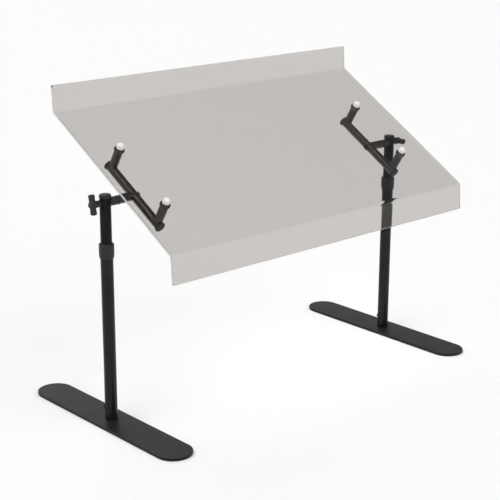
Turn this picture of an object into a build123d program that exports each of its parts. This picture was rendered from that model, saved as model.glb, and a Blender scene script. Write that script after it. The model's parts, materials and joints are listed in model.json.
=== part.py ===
"""Table-top music stand: a bent acrylic board on two telescoping posts with tilting yokes."""

import os
from math import cos, radians, sin

from build123d import *

os.makedirs("parts", exist_ok=True)

# Everything is in millimetres. X runs across the stand, +Y to its rear and +Z up. The origin is
# on the table, midway between the two feet.

# Stands
post_inset = 5.0  # post axis inside the board's end
axis_height = 363.0  # tilt axis above the table
foot_length = 374.0
foot_width = 60.0
foot_thickness = 5.0
foot_edge_radius = 0.8
spigot_height = 36.0
spigot_chamfer = 1.0
lower_tube_wall = 0.95
lower_tube_length = 277.5
upper_tube_radius = 9.0
upper_tube_wall = 1.2
upper_tube_length = 268.0
tube_above_axis = 7.5  # upper tube's rim above the tilt axis

# Height clutch
sleeve_wall = 0.7
sleeve_overlap = 7.0  # how far the sleeve reaches down over the lower tube
finger_length = 13.0
finger_slots = 4
finger_slot_width = 1.5
collar_wall = 1.25
collar_foot_wall = 0.55
collar_rim_width = 1.2
collar_rim_height = 1.4
collar_lip = 2.5
collar_taper = 7.0
collar_skirt = 8.0  # how far the collar reaches below the lower tube's rim
grip_flutes = 18
grip_flute_radius = 1.0
grip_flute_depth = 0.35

# Plugs in the upper tube
cap_overhang = 0.5  # beyond the upper tube's surface
cap_height = 6.0
cap_edge_radius = 1.8
core_plug_length = 24.0
end_flange = 2.0
end_plug_length = 12.0
end_plug_chamfer = 0.8

# Clamp on the tilt axis
clamp_screw_radius = 3.0
clamp_screw_in_knob = 12.0
clamp_screw_in_stub = 9.6
clamp_screw_chamfer = 0.6
bore_allowance = 1.0  # a blind hole is this much deeper than its screw
knob_washer_radius = 5.5
knob_washer_thickness = 1.2
hub_base_radius = 4.7
hub_radius = 6.0
hub_length = 8.5
hub_nose_start = 16.1
hub_nose_radius = 4.0
knob_reach = 19.1  # knob's base to the end of its hub
wing_span = 32.0
wing_radius = 5.2
wing_height = 13.2  # knob's base to the wings' own axis
wing_end_radius = 2.0
left_wing_lean = 10.0  # degrees off upright, the top to the rear
saddle_length = 14.0  # post's surface to the saddle's flat end
friction_washer_thickness = 1.2
friction_washer_radius = 7.4

# Yokes
yoke_reach = 55.0  # post axis to bar axis
stub_radius = 7.0
stub_lip = 2.0  # the stub's end stops this short of the bar's axis
bar_radius = 7.2
bar_wall = 1.5
bar_overhang = 7.6  # beyond each arm's axis
bar_cap_radius = 8.6
bar_cap_thickness = 3.0
bar_plug_length = 8.0
bar_cap_edge_radius = 1.0
arm_radius = 7.0
arm_spacing = 130.0  # between the front and rear arms, along the slope
yoke_bolt_radius = 2.5
yoke_bolt_head_radius = 5.0
yoke_bolt_head_height = 3.2
yoke_bolt_key = 3.0
yoke_bolt_in_stub = 15.0
bolt_seat_depth = 1.0

# Board
tilt_angle = 30.6  # slope of the panel as stored
board_width = 654.0
board_thickness = 4.0
board_above_axis = 44.8  # tilt axis to the panel's upper face
panel_length = 334.0
rear_lip = 41.0
front_lip = 45.0
lip_bend = 55.5  # each lip is bent this far out of the panel
bend_radius = 5.0
board_corner_radius = 3.0
board_washer_radius = 8.5
board_washer_thickness = 3.0
board_screw_radius = 2.5
board_screw_length = 20.0
dome_radius = 6.0
dome_skirt = 3.2  # straight part of the dome, below its half ball

# Fasteners of the feet
foot_screw_radius = 4.0
foot_screw_head_radius = 7.5
foot_screw_recess = 0.2
foot_screw_length = 26.0
foot_screw_key = 5.0
post_screw_radius = 2.5
post_screw_length = 8.0  # from the tube's surface into the spigot
post_screw_height = 24.0  # above the foot's upper face
post_screw_head_radius = 4.8
post_screw_head_height = 3.2
post_screw_key = 3.0

# Clearances
running_fit = 0.05  # radial, between pieces that turn or slide in each other
screw_clearance = 0.3  # radial, round a screw that passes through
lip_clearance = 0.3  # radial, between the collar's lip and the upper tube
end_gap = 0.2  # between faces that turn against each other

# Values that follow
post_x = board_width / 2 - post_inset
lower_tube_top = foot_thickness + lower_tube_length
upper_tube_top = axis_height + tube_above_axis
upper_tube_bottom = upper_tube_top - upper_tube_length
upper_tube_bore = upper_tube_radius - upper_tube_wall
guide_bore = upper_tube_radius + running_fit
lower_tube_radius = guide_bore + lower_tube_wall
sleeve_radius = lower_tube_radius + sleeve_wall
sleeve_top = lower_tube_top + finger_length
collar_bore = sleeve_radius + running_fit
collar_radius = collar_bore + collar_wall
collar_foot_radius = collar_bore + collar_foot_wall
collar_bottom = lower_tube_top - collar_skirt
collar_top = sleeve_top + end_gap + collar_lip
cap_radius = upper_tube_radius + cap_overhang
screw_hole = clamp_screw_radius + screw_clearance
saddle_end = upper_tube_radius + saddle_length
stub_start = saddle_end + friction_washer_thickness + end_gap
knob_base = upper_tube_radius + knob_washer_thickness + end_gap
board_underside = board_above_axis - board_thickness
arm_top = board_underside - board_washer_thickness
bar_length = arm_spacing + 2 * bar_overhang

slope = (0, cos(radians(tilt_angle)), sin(radians(tilt_angle)))
board_normal = (0, -sin(radians(tilt_angle)), cos(radians(tilt_angle)))
sides = {"left": -1, "right": 1}
arm_places = {"front": -1, "rear": 1}


def post_plane(side, height):
    """A level plane on a post's axis."""
    return Plane(origin=(side * post_x, 0, height))


def section_plane(side):
    """An upright plane through a post's axis, with its origin on the table."""
    return Plane(origin=(side * post_x, 0, 0), x_dir=(1, 0, 0), z_dir=(0, -1, 0))


def post_axis(side):
    return Axis((side * post_x, 0, 0), (0, 0, 1))


def post_screw_plane(side):
    """The seat of the screw that holds a post: it touches the tube's left side and faces inwards."""
    return Plane(
        origin=(side * post_x - lower_tube_radius, 0, foot_thickness + post_screw_height),
        x_dir=(0, 0, 1),
        z_dir=(1, 0, 0),
    )


def axis_plane(side, reach):
    """A plane across the tilt axis, facing inwards, at a distance inwards from the post's axis."""
    return Plane(
        origin=(side * (post_x - reach), 0, axis_height),
        x_dir=(0, 0, 1),
        z_dir=(-side, 0, 0),
    )


def yoke_plane(side, above_axis=0.0, along_slope=0.0):
    """A plane parallel to the panel, above the middle of a yoke's bar."""
    return Plane(
        origin=(
            side * (post_x - yoke_reach),
            along_slope * slope[1] + above_axis * board_normal[1],
            axis_height + along_slope * slope[2] + above_axis * board_normal[2],
        ),
        x_dir=(1, 0, 0),
        z_dir=board_normal,
    )


def bar_plane(side, along_bar):
    """A plane across a yoke's bar, facing up the slope."""
    return Plane(
        origin=(
            side * (post_x - yoke_reach),
            along_bar * slope[1],
            axis_height + along_bar * slope[2],
        ),
        x_dir=(1, 0, 0),
        z_dir=slope,
    )


def write(piece, name):
    piece.part.label = name
    export_step(piece.part, f"parts/{name}.step")


def make_foot(side):
    with BuildPart() as foot:
        with BuildSketch(post_plane(side, 0)):
            SlotOverall(foot_length, foot_width, rotation=90)
        extrude(amount=foot_thickness)
        fillet(foot.faces().sort_by(Axis.Z)[-1].edges(), foot_edge_radius)
        with Locations(Plane(origin=(side * post_x, 0, 0), z_dir=(0, 0, -1))):
            CounterSinkHole(
                foot_screw_radius + screw_clearance,
                foot_screw_head_radius + screw_clearance,
                depth=foot_thickness,
            )
    return foot


def make_foot_screw(side):
    head_height = foot_screw_head_radius - foot_screw_radius
    with BuildPart() as screw:
        with BuildSketch(section_plane(side)):
            with BuildLine():
                Polyline(
                    (0, foot_screw_recess),
                    (foot_screw_head_radius, foot_screw_recess),
                    (foot_screw_radius, foot_screw_recess + head_height),
                    (foot_screw_radius, foot_screw_length),
                    (0, foot_screw_length),
                    close=True,
                )
            make_face()
        revolve(axis=post_axis(side))
        with BuildSketch(post_plane(side, foot_screw_recess)):
            RegularPolygon(foot_screw_key / 2, 6, major_radius=False)
        extrude(amount=0.7 * head_height, mode=Mode.SUBTRACT)
    return screw


def make_foot_spigot(side):
    with BuildPart() as spigot:
        with BuildSketch(post_plane(side, foot_thickness)):
            Circle(guide_bore)
            Circle(foot_screw_radius, mode=Mode.SUBTRACT)
        extrude(amount=spigot_height)
        chamfer(spigot.edges().filter_by(GeomType.CIRCLE).sort_by(SortBy.RADIUS)[-1], spigot_chamfer)
        with BuildSketch(post_screw_plane(side)):
            Circle(post_screw_radius)
        extrude(amount=post_screw_length, mode=Mode.SUBTRACT)
    return spigot


def make_post_screw(side):
    with BuildPart() as screw:
        with BuildSketch(post_screw_plane(side)):
            Circle(post_screw_head_radius)
        extrude(amount=-post_screw_head_height)
        fillet(screw.edges().filter_by(GeomType.CIRCLE).sort_by(Axis.X)[0], 0.5 * post_screw_head_height)
        with BuildSketch(post_screw_plane(side)):
            Circle(post_screw_radius)
        extrude(amount=post_screw_length)
        with BuildSketch(post_screw_plane(side).offset(-post_screw_head_height)):
            RegularPolygon(post_screw_key / 2, 6, major_radius=False)
        extrude(amount=0.6 * post_screw_head_height, mode=Mode.SUBTRACT)
    return screw


def make_lower_tube(side):
    with BuildPart() as tube:
        with BuildSketch(post_plane(side, foot_thickness)):
            Circle(lower_tube_radius)
            Circle(guide_bore, mode=Mode.SUBTRACT)
        extrude(amount=lower_tube_length)
        with BuildSketch(post_screw_plane(side)):
            Circle(post_screw_radius)
        extrude(amount=lower_tube_radius, mode=Mode.SUBTRACT)
    return tube


def make_clutch_sleeve(side):
    with BuildPart() as sleeve:
        with BuildSketch(post_plane(side, lower_tube_top - sleeve_overlap)):
            Circle(sleeve_radius)
            Circle(lower_tube_radius, mode=Mode.SUBTRACT)
        extrude(amount=sleeve_overlap)
        with BuildSketch(post_plane(side, lower_tube_top)):
            Circle(sleeve_radius)
            Circle(guide_bore, mode=Mode.SUBTRACT)
        extrude(amount=finger_length)
        with BuildSketch(post_plane(side, sleeve_top)):
            with PolarLocations(0, finger_slots // 2, angular_range=180):
                Rectangle(2 * collar_radius, finger_slot_width)
        extrude(amount=-(finger_length - collar_lip), mode=Mode.SUBTRACT)
    return sleeve


def make_clutch_collar(side):
    rim = collar_radius - collar_rim_width
    with BuildPart() as collar:
        with BuildSketch(section_plane(side)):
            with BuildLine():
                Polyline(
                    (collar_bore, collar_bottom),
                    (collar_foot_radius, collar_bottom),
                    (collar_radius, collar_bottom + collar_taper),
                    (collar_radius, collar_top - collar_rim_height),
                    (rim, collar_top),
                    (upper_tube_radius + lip_clearance, collar_top),
                    (upper_tube_radius + lip_clearance, collar_top - collar_lip),
                    (collar_bore, collar_top - collar_lip),
                    close=True,
                )
            make_face()
        revolve(axis=post_axis(side))
        with BuildSketch(post_plane(side, collar_bottom + collar_taper)):
            with PolarLocations(collar_radius + grip_flute_radius - grip_flute_depth, grip_flutes):
                Circle(grip_flute_radius)
        extrude(amount=collar_top - collar_bottom, mode=Mode.SUBTRACT)
    return collar


def make_upper_tube(side):
    with BuildPart() as tube:
        with BuildSketch(post_plane(side, upper_tube_bottom)):
            Circle(upper_tube_radius)
            Circle(upper_tube_bore, mode=Mode.SUBTRACT)
        extrude(amount=upper_tube_length)
        with BuildSketch(axis_plane(side, 0)):
            Circle(screw_hole)
        extrude(amount=2 * upper_tube_radius, both=True, mode=Mode.SUBTRACT)
    return tube


def make_tube_end_plug(side):
    with BuildPart() as plug:
        with BuildSketch(post_plane(side, upper_tube_bottom)):
            Circle(upper_tube_bore)
        extrude(amount=end_plug_length)
        with BuildSketch(post_plane(side, upper_tube_bottom)):
            Circle(upper_tube_radius)
        extrude(amount=-end_flange)
        chamfer(plug.edges().filter_by(GeomType.CIRCLE).sort_by(Axis.Z)[0], end_plug_chamfer)
    return plug


def make_top_plug(side):
    with BuildPart() as plug:
        with BuildSketch(post_plane(side, upper_tube_top)):
            Circle(cap_radius)
        extrude(amount=cap_height)
        fillet(plug.edges().filter_by(GeomType.CIRCLE).sort_by(Axis.Z)[-1], cap_edge_radius)
        with BuildSketch(post_plane(side, upper_tube_top)):
            Circle(upper_tube_bore)
        extrude(amount=-core_plug_length)
        with BuildSketch(axis_plane(side, 0)):
            Circle(screw_hole)
        extrude(amount=2 * upper_tube_radius, both=True, mode=Mode.SUBTRACT)
    return plug


def make_knob_washer(side):
    with BuildPart() as washer:
        with BuildSketch(axis_plane(side, -upper_tube_radius)):
            Circle(knob_washer_radius)
            Circle(screw_hole, mode=Mode.SUBTRACT)
        extrude(amount=-knob_washer_thickness)
    return washer


def make_wing_knob(side, wing_direction):
    outward = Vector(side, 0, 0)
    along_wings = Vector(*wing_direction)
    knob_x = side * (post_x + knob_base)
    wing_x = side * (post_x + knob_base + wing_height)
    section = Plane(
        origin=(knob_x, 0, axis_height), x_dir=along_wings, z_dir=along_wings.cross(outward)
    )
    with BuildPart() as knob:
        with BuildSketch(Plane(origin=(wing_x, 0, axis_height), z_dir=along_wings)):
            Circle(wing_radius)
        extrude(amount=wing_span / 2, both=True)
        rings = knob.edges().filter_by(GeomType.CIRCLE)
        rings = rings.sort_by(Axis((wing_x, 0, axis_height), along_wings))
        fillet([rings[0], rings[-1]], wing_end_radius)
        with BuildSketch(section):
            with BuildLine():
                Polyline(
                    (0, 0),
                    (hub_base_radius, 0),
                    (hub_radius, hub_length),
                    (hub_radius, hub_nose_start),
                    (hub_nose_radius, knob_reach),
                    (0, knob_reach),
                    close=True,
                )
            make_face()
        revolve(axis=Axis((0, 0, axis_height), (1, 0, 0)))
        with BuildSketch(axis_plane(side, -knob_base)):
            Circle(clamp_screw_radius)
        extrude(amount=-clamp_screw_in_knob, mode=Mode.SUBTRACT)
    return knob


def make_clamp_screw(side):
    length = clamp_screw_in_knob + knob_base + stub_start + clamp_screw_in_stub
    with BuildPart() as screw:
        with BuildSketch(axis_plane(side, -knob_base - clamp_screw_in_knob)):
            Circle(clamp_screw_radius)
        extrude(amount=length)
        inner_rim = screw.edges().filter_by(GeomType.CIRCLE).sort_by(Axis.X)[-1 if side < 0 else 0]
        chamfer(inner_rim, clamp_screw_chamfer)
    return screw


def make_pivot_saddle(side):
    with BuildPart() as saddle:
        with BuildSketch(axis_plane(side, 0)):
            Circle(stub_radius)
            Circle(screw_hole, mode=Mode.SUBTRACT)
        extrude(amount=saddle_end)
        with BuildSketch(post_plane(side, axis_height)):
            Circle(upper_tube_radius)
        extrude(amount=2 * stub_radius, both=True, mode=Mode.SUBTRACT)
    return saddle


def make_friction_washer(side):
    with BuildPart() as washer:
        with BuildSketch(axis_plane(side, saddle_end)):
            Circle(friction_washer_radius)
            Circle(screw_hole, mode=Mode.SUBTRACT)
        extrude(amount=friction_washer_thickness)
    return washer


def make_pivot_stub(side):
    with BuildPart() as stub:
        with BuildSketch(axis_plane(side, stub_start)):
            Circle(stub_radius)
        extrude(amount=yoke_reach - stub_lip - stub_start)
        with BuildSketch(axis_plane(side, stub_start)):
            Circle(clamp_screw_radius + running_fit)
        extrude(amount=clamp_screw_in_stub + bore_allowance, mode=Mode.SUBTRACT)
        with BuildSketch(axis_plane(side, yoke_reach)):
            Circle(yoke_bolt_radius)
        extrude(amount=-yoke_bolt_in_stub - stub_lip - bore_allowance, mode=Mode.SUBTRACT)
        with BuildSketch(bar_plane(side, 0)):
            Circle(bar_radius)
        extrude(amount=2 * stub_radius, both=True, mode=Mode.SUBTRACT)
    return stub


def make_yoke_bolt(side):
    seat = yoke_reach + bar_radius - bolt_seat_depth
    shank = seat - yoke_reach + stub_lip + yoke_bolt_in_stub
    with BuildPart() as bolt:
        with BuildSketch(axis_plane(side, seat)):
            Circle(yoke_bolt_radius)
        extrude(amount=-shank)
        with BuildSketch(axis_plane(side, seat)):
            Circle(yoke_bolt_head_radius)
        extrude(amount=yoke_bolt_head_height)
        head_edges = bolt.edges().filter_by(GeomType.CIRCLE).sort_by(Axis.X)
        fillet(head_edges[0 if side > 0 else -1], 0.5 * yoke_bolt_head_height)
        with BuildSketch(axis_plane(side, seat + yoke_bolt_head_height)):
            RegularPolygon(yoke_bolt_key / 2, 6, major_radius=False)
        extrude(amount=-0.6 * yoke_bolt_head_height, mode=Mode.SUBTRACT)
    return bolt


def make_yoke_bar(side):
    with BuildPart() as bar:
        with BuildSketch(bar_plane(side, 0)):
            Circle(bar_radius)
            Circle(bar_radius - bar_wall, mode=Mode.SUBTRACT)
        extrude(amount=bar_length / 2, both=True)
        with BuildSketch(axis_plane(side, yoke_reach)):
            Circle(yoke_bolt_radius + screw_clearance)
        extrude(amount=2 * bar_radius, both=True, mode=Mode.SUBTRACT)
        with BuildSketch(axis_plane(side, yoke_reach + bar_radius - bolt_seat_depth)):
            Circle(yoke_bolt_head_radius + screw_clearance)
        extrude(amount=2 * bar_radius, mode=Mode.SUBTRACT)
    return bar


def make_bar_caps(side):
    with BuildPart() as caps:
        for end in (-1, 1):
            with BuildSketch(bar_plane(side, end * bar_length / 2)):
                Circle(bar_cap_radius)
            extrude(amount=end * bar_cap_thickness)
            with BuildSketch(bar_plane(side, end * bar_length / 2)):
                Circle(bar_radius - bar_wall)
            extrude(amount=-end * bar_plug_length)
        rims = caps.edges().filter_by(GeomType.CIRCLE).sort_by(Axis(origin=(0, 0, 0), direction=slope))
        fillet([rims[0], rims[-1]], bar_cap_edge_radius)
    return caps


def make_arm(side, along_slope):
    with BuildPart() as arm:
        with BuildSketch(yoke_plane(side, 0, along_slope)):
            Circle(arm_radius)
        extrude(amount=arm_top)
        with BuildSketch(yoke_plane(side, arm_top, along_slope)):
            Circle(board_screw_radius)
        extrude(amount=-board_screw_length, mode=Mode.SUBTRACT)
        with BuildSketch(bar_plane(side, along_slope)):
            Circle(bar_radius)
        extrude(amount=2 * arm_radius, both=True, mode=Mode.SUBTRACT)
    return arm


def make_board_washers(side):
    with BuildPart() as washers:
        for place in arm_places.values():
            with BuildSketch(yoke_plane(side, arm_top, place * arm_spacing / 2)):
                Circle(board_washer_radius)
                Circle(board_screw_radius + screw_clearance, mode=Mode.SUBTRACT)
            extrude(amount=board_washer_thickness)
    return washers


def make_board_screws(side):
    with BuildPart() as screws:
        for place in arm_places.values():
            seat = yoke_plane(side, board_above_axis, place * arm_spacing / 2)
            with BuildSketch(seat):
                Circle(board_screw_radius)
            extrude(amount=bore_allowance - board_thickness - board_washer_thickness - board_screw_length)
            section = Plane(origin=seat.origin, x_dir=(1, 0, 0), z_dir=seat.y_dir * -1)
            with BuildSketch(section):
                with BuildLine():
                    Polyline((0, dome_skirt + dome_radius), (0, 0), (dome_radius, 0), (dome_radius, dome_skirt))
                    RadiusArc((dome_radius, dome_skirt), (0, dome_skirt + dome_radius), -dome_radius)
                make_face()
            revolve(axis=Axis(seat.origin, board_normal))
    return screws


def make_board():
    bend = radians(lip_bend)
    half = panel_length / 2
    rear_fold = (half, board_above_axis)
    front_fold = (-half, board_above_axis)
    rear_edge = (half + rear_lip * cos(bend), board_above_axis + rear_lip * sin(bend))
    front_edge = (-half - front_lip * cos(bend), board_above_axis - front_lip * sin(bend))
    with BuildPart() as board:
        with BuildSketch(Plane(origin=(0, 0, axis_height), x_dir=slope, z_dir=(1, 0, 0))):
            with BuildLine():
                FilletPolyline(
                    rear_edge,
                    rear_fold,
                    front_fold,
                    front_edge,
                    radius=[bend_radius, bend_radius + board_thickness],
                )
                offset(amount=board_thickness, side=Side.LEFT)
            make_face()
        extrude(amount=board_width / 2, both=True)
        across_sheet = board.edges().filter_by(lambda edge: abs(edge.length - board_thickness) < 0.01)
        fillet(across_sheet, board_corner_radius)
        for side in sides.values():
            for place in arm_places.values():
                with BuildSketch(yoke_plane(side, board_above_axis, place * arm_spacing / 2)):
                    Circle(board_screw_radius + screw_clearance)
                extrude(amount=-2 * board_thickness, mode=Mode.SUBTRACT)
    return board


write(make_board(), "board")
for side_name, side in sides.items():
    write(make_foot(side), f"{side_name}_foot")
    write(make_foot_screw(side), f"{side_name}_foot_screw")
    write(make_foot_spigot(side), f"{side_name}_foot_spigot")
    write(make_post_screw(side), f"{side_name}_post_screw")
    write(make_lower_tube(side), f"{side_name}_lower_tube")
    write(make_clutch_sleeve(side), f"{side_name}_clutch_sleeve")
    write(make_clutch_collar(side), f"{side_name}_clutch_collar")
    write(make_upper_tube(side), f"{side_name}_upper_tube")
    write(make_tube_end_plug(side), f"{side_name}_tube_end_plug")
    write(make_top_plug(side), f"{side_name}_top_plug")
    write(make_knob_washer(side), f"{side_name}_knob_washer")
    write(make_clamp_screw(side), f"{side_name}_clamp_screw")
    write(make_pivot_saddle(side), f"{side_name}_pivot_saddle")
    write(make_friction_washer(side), f"{side_name}_friction_washer")
    write(make_pivot_stub(side), f"{side_name}_pivot_stub")
    write(make_yoke_bolt(side), f"{side_name}_yoke_bolt")
    write(make_yoke_bar(side), f"{side_name}_yoke_bar")
    write(make_bar_caps(side), f"{side_name}_bar_caps")
    write(make_board_washers(side), f"{side_name}_board_washers")
    write(make_board_screws(side), f"{side_name}_board_screws")
    for place_name, place in arm_places.items():
        write(make_arm(side, place * arm_spacing / 2), f"{side_name}_{place_name}_arm")

# As stored, the left knob's wings stand almost upright and the right knob's lie level.
left_wings = (0, sin(radians(left_wing_lean)), cos(radians(left_wing_lean)))
write(make_wing_knob(sides["left"], left_wings), "left_wing_knob")
write(make_wing_knob(sides["right"], (0, 1, 0)), "right_wing_knob")
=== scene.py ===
import json
import math

import bmesh
import bpy
from mathutils import Matrix, Vector, noise


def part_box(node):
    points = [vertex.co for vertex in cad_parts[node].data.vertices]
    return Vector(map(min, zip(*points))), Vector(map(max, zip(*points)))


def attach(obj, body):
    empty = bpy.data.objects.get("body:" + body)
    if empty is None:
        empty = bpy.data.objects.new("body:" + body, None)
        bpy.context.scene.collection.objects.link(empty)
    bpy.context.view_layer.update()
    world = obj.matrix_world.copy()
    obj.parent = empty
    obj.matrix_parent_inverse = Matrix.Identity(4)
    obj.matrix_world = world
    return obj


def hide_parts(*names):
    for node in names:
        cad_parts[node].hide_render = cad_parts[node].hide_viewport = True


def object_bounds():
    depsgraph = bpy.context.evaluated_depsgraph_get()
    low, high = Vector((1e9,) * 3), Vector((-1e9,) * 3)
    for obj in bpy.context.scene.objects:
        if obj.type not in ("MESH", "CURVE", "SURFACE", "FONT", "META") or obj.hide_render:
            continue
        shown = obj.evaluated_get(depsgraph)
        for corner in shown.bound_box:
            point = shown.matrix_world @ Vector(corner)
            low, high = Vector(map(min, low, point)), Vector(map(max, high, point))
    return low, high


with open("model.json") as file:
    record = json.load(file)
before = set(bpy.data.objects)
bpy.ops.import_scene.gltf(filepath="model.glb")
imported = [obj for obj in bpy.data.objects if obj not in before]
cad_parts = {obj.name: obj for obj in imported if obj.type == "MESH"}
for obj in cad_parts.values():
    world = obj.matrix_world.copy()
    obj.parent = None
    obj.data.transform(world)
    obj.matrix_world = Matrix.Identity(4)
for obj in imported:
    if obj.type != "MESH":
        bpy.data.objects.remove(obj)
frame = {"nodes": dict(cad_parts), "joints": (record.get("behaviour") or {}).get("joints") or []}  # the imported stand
cadLow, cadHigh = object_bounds()
print("frame loaded:", len(frame["nodes"]), "nodes")

mm = 0.001
tiny = 0.001 * mm  # smaller than any real size here
sides = {"left": -1, "right": 1}
armPlaces = ("front", "rear")


def middle(node):
    low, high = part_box(node)
    return (low + high) / 2


def extent(node):
    low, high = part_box(node)
    return high - low


across = Vector((1, 0, 0))
rearward = Vector((0, 1, 0))
upward = Vector((0, 0, 1))
slope = (middle("left_rear_arm") - middle("left_front_arm")).normalized()  # up the panel to its rear
panelNormal = across.cross(slope)
tiltPoint = next(Vector(j["pos_m"]) for j in frame["joints"] if j["name"] == "board_tilt")
axisHeight = tiltPoint.z


# each shape is made round its own Z axis, then moved to its place
def placeAt(origin, zAxis, xAxis):
    place = Matrix((xAxis, zAxis.cross(xAxis), zAxis)).transposed().to_4x4()
    place.translation = origin
    return place


def skin(rings, wrap=False):
    # faces between rings of points; a ring of one point is a pole
    bm = bmesh.new()
    rows = [[bm.verts.new(point) for point in ring] for ring in rings]
    following = rows[1:] + rows[:1] if wrap else rows[1:]
    for lower, upper in zip(rows, following):
        count = max(len(lower), len(upper))
        for step in range(count):
            ahead = (step + 1) % count
            corners = [
                lower[step % len(lower)],
                lower[ahead % len(lower)],
                upper[ahead % len(upper)],
                upper[step % len(upper)],
            ]
            bm.faces.new(list(dict.fromkeys(corners)))
    if not wrap:
        for row in (rows[0], rows[-1]):
            if len(row) > 2:
                bm.faces.new(row)
    bmesh.ops.recalc_face_normals(bm, faces=bm.faces)
    return bm


def corner(radius, height, ease=0.0, form=None):
    # one corner of a turned outline: ease rounds it, form changes it round the axis
    return radius, height, ease, form


def easedOutline(corners, closed, steps=5):
    outline = []
    for index, (radius, height, ease, form) in enumerate(corners):
        here = Vector((radius, height))
        if ease == 0 or not (closed or 0 < index < len(corners) - 1):
            outline.append((radius, height, form))
            continue
        back = (Vector(corners[index - 1][:2]) - here).normalized()
        ahead = (Vector(corners[(index + 1) % len(corners)][:2]) - here).normalized()
        half = back.angle(ahead) / 2
        centre = here + (back + ahead).normalized() * ease / math.sin(half)
        start = here + back * ease / math.tan(half) - centre
        end = here + ahead * ease / math.tan(half) - centre
        for step in range(steps + 1):
            point = centre + start.lerp(end, step / steps).normalized() * ease
            outline.append((point.x, point.y, form))
    return outline


def turned(corners, segments=64, wrap=False):
    rings = []
    for radius, height, form in easedOutline(corners, wrap):
        if radius < tiny:
            rings.append([Vector((0, 0, height))])
            continue
        ring = []
        for step in range(segments):
            angle = 2 * math.pi * step / segments
            r, h = form(radius, height, angle) if form else (radius, height)
            ring.append(Vector((r * math.cos(angle), r * math.sin(angle), h)))
        rings.append(ring)
    return skin(rings, wrap)


def hollow(bore, radius, low, high, ease, segments, boreEase=0.0):
    # a tube or washer from low to high
    return turned([
        corner(bore, low, boreEase),
        corner(radius, low, ease),
        corner(radius, high, ease),
        corner(bore, high, boreEase),
    ], segments, wrap=True)


def hexKey(radius, height, angle):
    # a hexagon whose flats are at radius
    return radius / math.cos((angle + math.pi / 6) % (math.pi / 3) - math.pi / 6), height


def againstBar(barRadius, lip=0.0, sign=1, base=0.0):
    # an end that meets a round bar running along the piece's own Y
    def form(radius, height, angle):
        offset = radius * math.cos(angle)
        rise = math.sqrt(max(barRadius**2 - offset**2, lip**2))
        return radius, base + sign * rise
    return form


def applied(bm, *modifiers):
    # the mesh after the modifiers, each given as (type, settings)
    mesh = bpy.data.meshes.new("shaping")
    bm.to_mesh(mesh)
    bm.free()
    holder = bpy.data.objects.new("shaping", mesh)
    bpy.context.scene.collection.objects.link(holder)
    for kind, settings in modifiers:
        modifier = holder.modifiers.new(kind.lower(), kind)
        for label, value in settings.items():
            setattr(modifier, label, value)
    bpy.context.view_layer.update()
    shaped = bpy.data.meshes.new_from_object(holder.evaluated_get(bpy.context.evaluated_depsgraph_get()))
    bpy.data.objects.remove(holder)
    made = bmesh.new()
    made.from_mesh(shaped)
    bpy.data.meshes.remove(shaped)
    return made


def carved(bm, cutter):
    # bm with the closed shape of cutter taken away
    mesh = bpy.data.meshes.new("cutter")
    cutter.to_mesh(mesh)
    cutter.free()
    tool = bpy.data.objects.new("cutter", mesh)
    bpy.context.scene.collection.objects.link(tool)
    made = applied(bm, ("BOOLEAN", {"object": tool, "operation": "DIFFERENCE", "solver": "EXACT"}))
    bpy.data.objects.remove(tool)
    return made


def merged(*parts):
    mesh = bpy.data.meshes.new("merged")
    whole = bmesh.new()
    for part in parts:
        part.to_mesh(mesh)
        part.free()
        whole.from_mesh(mesh)
    bpy.data.meshes.remove(mesh)
    return whole


def addPiece(name, bm, body, finishNames, replaced, place=None, sharpAngle=38):
    mesh = bpy.data.meshes.new(name)
    bm.to_mesh(mesh)
    bm.free()
    if place is not None:
        mesh.transform(place)
    mesh.polygons.foreach_set("use_smooth", [True] * len(mesh.polygons))
    mesh.set_sharp_from_angle(angle=math.radians(sharpAngle))
    for finishName in finishNames:
        mesh.materials.append(finishes[finishName])
    piece = bpy.data.objects.new(name, mesh)
    bpy.context.scene.collection.objects.link(piece)
    shading = piece.modifiers.new("evenShading", "WEIGHTED_NORMAL")
    shading.keep_sharp = True
    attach(piece, body)
    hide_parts(*replaced)
    return piece


def addNode(tree, kind, inputs=None, **settings):
    made = tree.nodes.new(kind)
    for label, value in settings.items():
        setattr(made, label, value)
    for label, value in (inputs or {}).items():
        if isinstance(value, bpy.types.NodeSocket):
            tree.links.new(value, made.inputs[label])
        else:
            made.inputs[label].default_value = value
    return made


def maths(tree, operation, first, second=0.0, clamp=False):
    inputs = {0: first, 1: second}
    return addNode(tree, "ShaderNodeMath", inputs, operation=operation, use_clamp=clamp).outputs[0]


def spread(tree, value, low, high, newLow=0.0, newHigh=1.0):
    inputs = {"Value": value, "From Min": low, "From Max": high, "To Min": newLow, "To Max": newHigh}
    return addNode(tree, "ShaderNodeMapRange", inputs, interpolation_type="SMOOTHSTEP").outputs[0]


def mixColor(tree, share, first, second):
    mix = addNode(tree, "ShaderNodeMix", {0: share, 6: first, 7: second}, data_type="RGBA")
    return mix.outputs[2]


def between(tree, share, ends):
    # from the first end to the second while share goes from 0 to 1
    return spread(tree, share, 0.0, 1.0, *ends)


def noiseField(tree, coords, scale, detail):
    inputs = {"Vector": coords, "Scale": scale, "Detail": detail}
    return addNode(tree, "ShaderNodeTexNoise", inputs).outputs["Fac"]


def newGroup(name, inputs, outputs):
    group = bpy.data.node_groups.new(name, "ShaderNodeTree")
    for label, value in inputs.items():
        socket = group.interface.new_socket(label, in_out="INPUT", socket_type="NodeSocketFloat")
        socket.default_value = value
    for label in outputs:
        group.interface.new_socket(label, in_out="OUTPUT", socket_type="NodeSocketFloat")
    return group, group.nodes.new("NodeGroupInput").outputs, group.nodes.new("NodeGroupOutput").inputs


def useGroup(tree, group, **inputs):
    placed = tree.nodes.new("ShaderNodeGroup")
    placed.node_tree = group
    for label, value in inputs.items():
        placed.inputs[label].default_value = value
    return placed.outputs


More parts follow.
